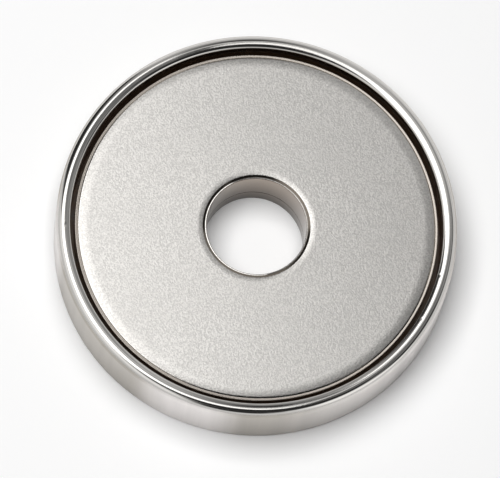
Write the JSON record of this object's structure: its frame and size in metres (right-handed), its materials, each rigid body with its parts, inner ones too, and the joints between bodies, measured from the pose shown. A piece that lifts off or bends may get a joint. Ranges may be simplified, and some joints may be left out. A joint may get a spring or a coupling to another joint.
{
  "type": "pot magnet",
  "caption": "Round pot magnet: a plated steel cup with a plated ring magnet bonded inside, its face just below the rim, and a hole straight through the middle.",
  "frame": {"origin": "centre of the cup's flat underside", "axes": "+Z along the axis of the cup and its bore, from the underside to the open holding side; X and Y lie in the underside and are alike"},
  "size_m": [0.066, 0.066, 0.0115],
  "materials": {
    "bright_plate": "bright nickel plate on steel",
    "satin_plate": "satin nickel plate, fine grained",
    "adhesive": "cured dark epoxy"
  },
  "bodies": {
    "root": {"cup": "bright_plate", "ring_magnet": "satin_plate", "adhesive_bond": "adhesive"}
  },
  "joints": []
}
